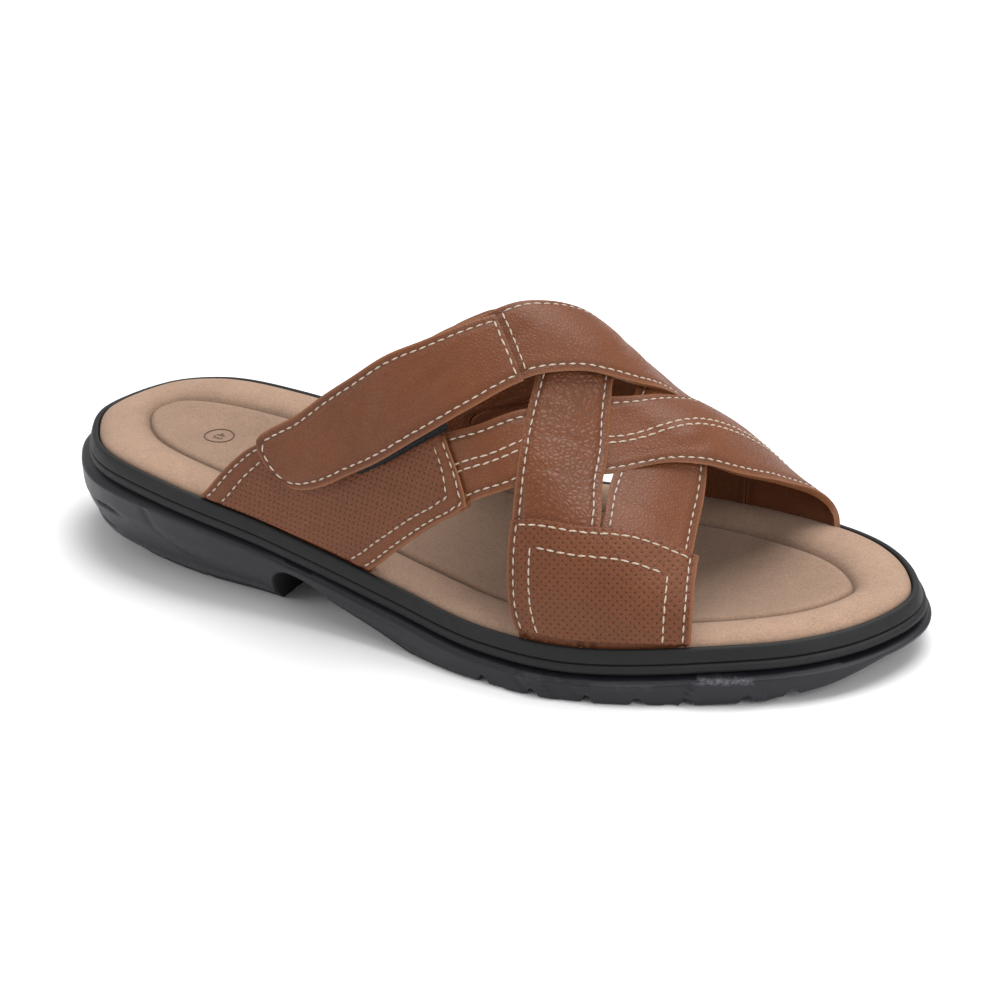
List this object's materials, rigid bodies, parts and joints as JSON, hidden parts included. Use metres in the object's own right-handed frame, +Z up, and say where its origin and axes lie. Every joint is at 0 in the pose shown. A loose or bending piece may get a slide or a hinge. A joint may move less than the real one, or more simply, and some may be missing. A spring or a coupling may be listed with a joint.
{
  "type": "slide sandal",
  "caption": "Right slide sandal with woven leather straps, a fastened outer flap, a cushioned footbed and a thick moulded rubber sole.",
  "frame": {"origin": "middle of the footprint's box, on the floor", "axes": "+X from heel to toe, +Y towards the inner side of the foot, +Z up; the sandal is for the right foot"},
  "size_m": [0.293, 0.1162, 0.0955],
  "materials": {
    "rubber_black": "satin black moulded rubber",
    "suede_tan": "matt tan napped suede over a soft cushion",
    "leather_brown": "cognac brown pebbled leather with a soft gloss",
    "tape_black": "matt black hook-and-loop tape"
  },
  "bodies": {
    "root": {"sole_unit": "rubber_black", "insole": "suede_tan", "upper": "leather_brown", "front_patch": "leather_brown", "rear_patch": "leather_brown", "hook_tape": "tape_black", "closure_flap": "leather_brown"}
  },
  "joints": []
}
